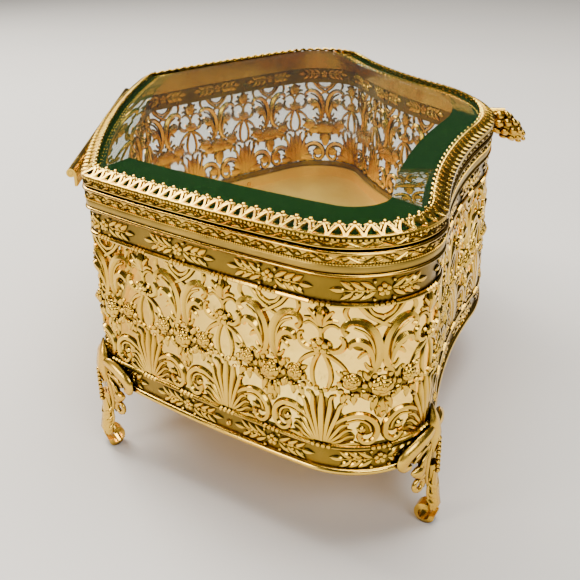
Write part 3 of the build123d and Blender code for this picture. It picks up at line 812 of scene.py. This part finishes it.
def lace_crown():
    """Pierced lace strip: pointed arches with a trefoil on each, leaning in over the glass."""
    count = round(around / arch_width)
    pitch = around / count
    rise = tips_z - crown_z - tip_room
    lean = atan(crown_lean / rise)
    tall = hypot(crown_lean, rise)
    outer_leg = [(-pitch * 0.46, 0.0, 0.42, 0.1), (-pitch * 0.36, tall * 0.30, 0.38, 0.2),
                 (-pitch * 0.15, tall * 0.58, 0.38, 0.3), (0.0, tall * 0.72, 0.42, 0.35)]
    loop = [(-pitch * 0.5, tall * 0.46, 0.26, 0.1), (-pitch * 0.36, tall * 0.64, 0.26, 0.2),
            (-pitch * 0.26, tall * 0.86, 0.26, 0.2)]
    bar = [(-pitch * 0.42, tall * 0.80, 0.2, 0.2), (0.0, tall * 0.74, 0.26, 0.3)]
    foot_line = [(-pitch * 0.5, 0.05, 0.32, 0.1), (0.0, 0.05, 0.32, 0.1)]
    legs = ribs(mirrored([outer_leg, loop, bar, foot_line]), flatness=0.9, sides=1, steps=1)

    def trefoil(bm):
        boss(bm, 0.0, tall - 0.42, 0.44, 0.5)
        for side in (-1, 1):
            boss(bm, side * pitch * 0.22, tall - 1.05, 0.46, 0.4)
        boss(bm, pitch * 0.5, tall * 0.16, 0.44, 0.25)
        boss(bm, pitch * 0.5, tall * 0.48, 0.36, 0.15)
    flat = joined([legs, drawn(trefoil)])
    mark_relief(flat)
    flat.transform(Matrix.Translation((0, crown_z, rim_stand - 0.35)) @ Matrix.Rotation(-lean, 4, "X"))
    row = repeated(flat, count, pitch)
    bend(row)
    return piece("lace_crown", row, "lid", stamped_gilt)


def crown_footing():
    """Plain rolled strip that carries the lace."""
    section = [(1.15, crown_z - 0.1), (1.55, crown_z), (1.45, crown_z + 0.35), (0.7, crown_z + 0.5)]
    section += [(0.5, crown_z)]
    strip = section_strip(section)
    bend(strip)
    return piece("crown_footing", strip, "lid", moulded_gilt, weld=True)


# ======================================================================================
# Cast feet and the bud knob
# ======================================================================================

def foot_strokes():
    """Crest, scrolled arms, ribbed web, side buds and curls, in height above the floor."""
    middle = [
        [(0, 19.5, 1.5, 1.7), (0, 23.5, 2.3, 1.9), (0, 27.0, 1.9, 1.5), (0, 30.9, 0.4, 0.9)],
        [(0, 16.0, 1.5, 1.9), (0, 11.5, 1.7, 2.0), (0, 7.5, 2.0, 2.4), (0, 4.6, 2.1, 2.8)],
    ]
    halves = [
        [(0.4, 24.9, 1.1, 1.9), (3.4, 25.2, 1.55, 2.0), (7.2, 23.9, 1.75, 1.9), (9.9, 21.7, 1.65, 1.8),
         (9.9, 19.8, 1.1, 1.7), (8.2, 19.5, 0.7, 1.7)],
        [(1.2, 21.9, 0.5, 1.9), (4.0, 22.1, 0.6, 2.0), (6.4, 21.1, 0.55, 2.0), (7.4, 19.9, 0.35, 1.9)],
        [(1.0, 22.0, 0.6, 1.9), (2.2, 18.6, 0.7, 1.9), (2.8, 14.6, 0.6, 1.8), (1.9, 11.0, 0.45, 1.7)],
        [(2.2, 21.6, 0.5, 1.8), (3.7, 18.6, 0.6, 1.8), (4.3, 15.2, 0.5, 1.7), (3.2, 12.2, 0.4, 1.6)],
        [(1.3, 12.8, 0.5, 1.9), (2.2, 9.4, 0.6, 2.0), (1.5, 6.4, 0.5, 2.3)],
        [(0.8, 14.6, 0.4, 2.6), (1.3, 10.4, 0.5, 2.6), (1.2, 6.6, 0.55, 3.0), (1.1, 4.2, 0.5, 3.2)],
        [(1.7, 26.6, 0.5, 1.7), (2.6, 24.2, 0.7, 1.9), (3.6, 22.6, 0.5, 1.9)],
        # small leaves that wrap the leg, each from its edge to the middle
        [(2.0, 12.4, 0.35, 1.6), (1.5, 11.0, 0.6, 2.5), (0.3, 9.6, 0.35, 3.3)],
        [(2.2, 10.0, 0.35, 1.7), (1.7, 8.6, 0.6, 2.7), (0.3, 7.2, 0.35, 3.5)],
        [(2.3, 7.6, 0.35, 1.9), (1.8, 6.2, 0.6, 2.9), (0.3, 4.8, 0.35, 3.6)],
        # nested ribs of the web between arm and leg
        [(2.6, 20.6, 0.4, 2.1), (4.9, 18.9, 0.45, 2.1), (5.2, 16.6, 0.4, 2.0), (3.9, 15.2, 0.35, 1.9)],
    ]
    return middle + mirrored(halves)


def foot_bosses(bm):
    """The row of beads down the middle, the webs of the arms and the side buds."""
    for index in range(8):
        boss(bm, 0, 22.6 - index * 1.2, 0.62, 3.1, 0.9, fine=True)
    for side in (-1, 1):
        blade(bm, (side * 1.5, 22.6), (side * 9.8, 21.6), 5.2, 1.3, 0.7, segments=(10, 8))
        blade(bm, (side * 2.2, 22.0), (side * 2.6, 10.6), 5.0, 1.2, 0.8, segments=(10, 8))
        blade(bm, (side * 3.6, 16.2), (side * 8.2, 17.5), 2.4, 1.7, 1.1, segments=(10, 8))
        blade(bm, (side * 3.9, 15.4), (side * 6.4, 16.0), 1.6, 1.9, 0.9, segments=(8, 6))


ring_out = 1.7          # how far the side rings stand off the wall's outer face


def ring_of(centre, radius, thickness, steps=8):
    """Closed ring in the plane of the wall, as a stroke."""
    turns = [tau * k / steps for k in range(steps)]
    return [(centre[0] + radius * cos(t), centre[1] + radius * sin(t), thickness, ring_out) for t in turns]


def curled_toe(bm):
    """The strap of the leg, curled inwards into an open ring."""
    radius, skin, width = 2.0, 0.6, 1.9
    heel_out = 3.0
    centre = Vector((0, radius + skin, heel_out - radius))
    corners = [(-width, -skin), (-width * 0.8, skin * 0.9), (width * 0.8, skin * 0.9), (width, -skin)]
    verts = [bm.verts.new((x, centre.y, centre.z + radius + r)) for x, r in corners]
    face = bm.faces.new(verts)
    bmesh.ops.spin(bm, geom=[face], angle=radians(300), steps=22, axis=(1, 0, 0), cent=centre)


def foot(name, at, turn):
    """One cast foot at its corner, in place of the plain one."""
    rings = ribs([ring_of((side * 5.6, 13.4), 1.35, 0.62) for side in (-1, 1)], 0.9, 2, 3, closed=True)
    parts = [ribs(foot_strokes(), 0.62, 3, 6), drawn(foot_bosses), rings, drawn(curled_toe)]
    for part in parts[:3]:
        mark_relief(part)
    # one height for the whole toe keeps it clear of the painted shade of low relief
    mark_relief(parts[3], 3.0)
    mesh = joined(parts)
    bend(mesh, start=at, turn=turn)
    return piece(name, mesh, "base", cast_gilt, sharp=50)


def bud_knob():
    """Rose bud wrapped in petals, hanging outwards and down in front of the lid's band."""
    low, high = [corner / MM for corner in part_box("knob")]
    drop = radians(36)
    reach = 12.4
    middle = Vector((0, low.y + 5.9, high.z - 6.2))
    golden_turn = pi * (3 - sqrt(5))

    def petal(bm, along, radius, angle, size):
        place = Matrix.Rotation(angle, 4, "Z") @ Matrix.Translation((radius, 0, along))
        place @= Matrix.Rotation(-0.35, 4, "Y") @ Matrix.Diagonal((size * 0.55, size * 0.8, size * 1.1, 1))
        bmesh.ops.create_uvsphere(bm, u_segments=8, v_segments=6, radius=1, matrix=place)

    def draw(bm):
        heart = Matrix.Diagonal((2.6, 2.6, reach * 0.44, 1))
        bmesh.ops.create_uvsphere(bm, u_segments=14, v_segments=10, radius=1, matrix=heart)
        count = 30
        for index in range(count):
            share = (index + 0.5) / count
            along = reach * (share - 0.5) * 0.84
            girth = 3.7 * sqrt(max(0.0, 1 - (2 * along / reach) ** 2)) * (1 - 0.35 * share) - 0.2
            petal(bm, along, girth, index * golden_turn, 1.65 - 0.75 * share)
        petal(bm, reach * 0.45, 0.0, 0.0, 0.8)
    bud = drawn(draw)
    bud.transform(Matrix.Translation(middle) @ Matrix.Rotation(pi / 2 + drop, 4, "X"))

    def stem(bm):
        neck = Matrix.Translation((0, high.y - 2.3, high.z - 1.05)) @ Matrix.Rotation(pi / 2, 4, "X")
        bmesh.ops.create_cone(bm, cap_ends=True, segments=14, radius1=1.0, radius2=0.8, depth=4.4,
                              matrix=neck)
    leaf = drawn(lambda bm: blade(bm, (0, 0), (2.6, 0), 2.0, 0.0, 0.5, 0.1, (8, 8)))
    leaf.transform(Matrix.Translation((0, high.y - 0.6, high.z - 1.7)) @ Matrix.Rotation(-pi / 2, 4, "Z"))
    mesh = joined([bud, drawn(stem), leaf])
    # one height for the whole knob keeps it clear of the painted shade of low relief
    mark_relief(mesh, 3.0)
    mesh.transform(Matrix.Scale(MM, 4))
    return piece("bud_knob", mesh, "lid", cast_gilt, sharp=60)


# ======================================================================================
# Assembly
# ======================================================================================

def dress_base():
    """Every piece of ornament that stays with the base."""
    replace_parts(openwork_wall(), "filigree_band")
    frieze_field(bottom_z + 0.1, lower_reel_z + 0.5, "lower_frieze_field")
    frieze_field(upper_reel_z - 0.5, rim_z - 0.3, "upper_frieze_field")
    laurel_frieze("lower_laurel", bottom_z + 3.75)
    laurel_frieze("upper_laurel", upper_reel_z + 3.0)
    frieze_reverse()
    bead_and_reel("lower_bead_and_reel", lower_reel_z)
    bead_and_reel("upper_bead_and_reel", upper_reel_z)
    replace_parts(bottom_bead(), "bottom_moulding")
    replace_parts(rim_moulding(), "top_rim")
    engraved_band("rim_scrolls", scroll_low, scroll_high, 1.1, "base")
    lined_band()
    bead_row("rim_fine_beads", scroll_low - 0.16, 1.15, 0.27, 0.6, "base")
    for name, at, turn in (("back_right_foot", back_foot_at, 1), ("front_right_foot", front_foot_at, 1),
                           ("front_left_foot", around - front_foot_at, -1),
                           ("back_left_foot", around - back_foot_at, -1)):
        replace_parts(foot("cast_" + name, at, turn), name)


def dress_lid():
    """Every piece of ornament that moves with the lid."""
    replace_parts(lid_moulding(), "lid_frame")
    engraved_band("lid_scrolls", lid_z + 0.25, lid_beads_z - 0.3, 1.25, "lid")
    bead_row("lid_beads", lid_beads_z, 1.25, 0.42, 0.98, "lid")
    crown_footing()
    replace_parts(lace_crown(), "crown_gallery")
    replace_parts(bud_knob(), "knob")


def finish_nodes():
    """Finishes of the pieces that keep their own shape."""
    kept = {
        "base_plate": matt_sheet, "inner_collar": moulded_gilt, "lid_liner_ring": moulded_gilt,
        "plate_rivets": moulded_gilt, "hinge_base_knuckles": moulded_gilt, "hinge_lid_knuckles": moulded_gilt,
        "hinge_pin": moulded_gilt, "knob_stud": moulded_gilt, "glass_panel": glass,
    }
    for name, material in kept.items():
        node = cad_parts[name]
        node.data.materials.clear()
        node.data.materials.append(material)


def light_panel(name, place, aim, size, power, colour):
    """A soft rectangular light at place (metres), turned to aim."""
    data = bpy.data.lights.new(name, "AREA")
    data.shape = "RECTANGLE"
    data.size, data.size_y = size
    data.energy = power
    data.color = linear(colour)[:3]
    lamp = bpy.data.objects.new(name, data)
    lamp.location = place
    lamp.rotation_euler = (Vector(aim) - Vector(place)).to_track_quat("-Z", "Y").to_euler()
    bpy.context.scene.collection.objects.link(lamp)


def set_stage():
    """Pale floor, dim grey surroundings and four soft lights."""
    floor_mesh = drawn(lambda bm: bmesh.ops.create_grid(bm, x_segments=8, y_segments=8, size=3.0))
    floor = bpy.data.objects.new("floor", floor_mesh)
    floor_mesh.materials.append(pale_floor())
    bpy.context.scene.collection.objects.link(floor)
    world = bpy.data.worlds.new("studio")
    world.use_nodes = True
    world.node_tree.nodes["Background"].inputs["Color"].default_value = linear("#C4C6CA")
    world.node_tree.nodes["Background"].inputs["Strength"].default_value = 0.09
    bpy.context.scene.world = world
    aim = (0, 0, 0.04)
    light_panel("window", (0.5, 0.5, 0.62), aim, (0.5, 0.5), 15.0, "#FFF9F0")
    light_panel("room", (-0.75, -0.3, 0.6), aim, (0.6, 0.3), 5.0, "#F8F8FF")
    light_panel("overhead", (0.05, -0.1, 0.85), aim, (0.7, 0.7), 14.0, "#FFF9F0")
    light_panel("side", (-0.45, 0.75, 0.35), aim, (0.3, 0.3), 4.0, "#FFF6E8")


def set_camera():
    """Looks along the box from its left end, a little above it."""
    data = bpy.data.cameras.new("camera")
    data.sensor_width = 36.0
    data.lens = 56.34
    data.shift_x, data.shift_y = 0.0012, 0.0030
    camera = bpy.data.objects.new("camera", data)
    azimuth, elevation, roll = radians(-90.685), radians(24.194), radians(-1.189)
    distance = 281.53
    target = Vector((-6.1, -4.235 + shift_y, 19.03)) * MM
    back = Vector((sin(azimuth) * cos(elevation), -cos(azimuth) * cos(elevation), sin(elevation)))
    turn = (-back).to_track_quat("-Z", "Y").to_matrix().to_4x4() @ Matrix.Rotation(roll, 4, "Z")
    camera.matrix_world = Matrix.Translation(target + back * distance * MM) @ turn
    bpy.context.scene.collection.objects.link(camera)
    bpy.context.scene.camera = camera


dress_base()
dress_lid()
finish_nodes()
set_stage()
set_camera()
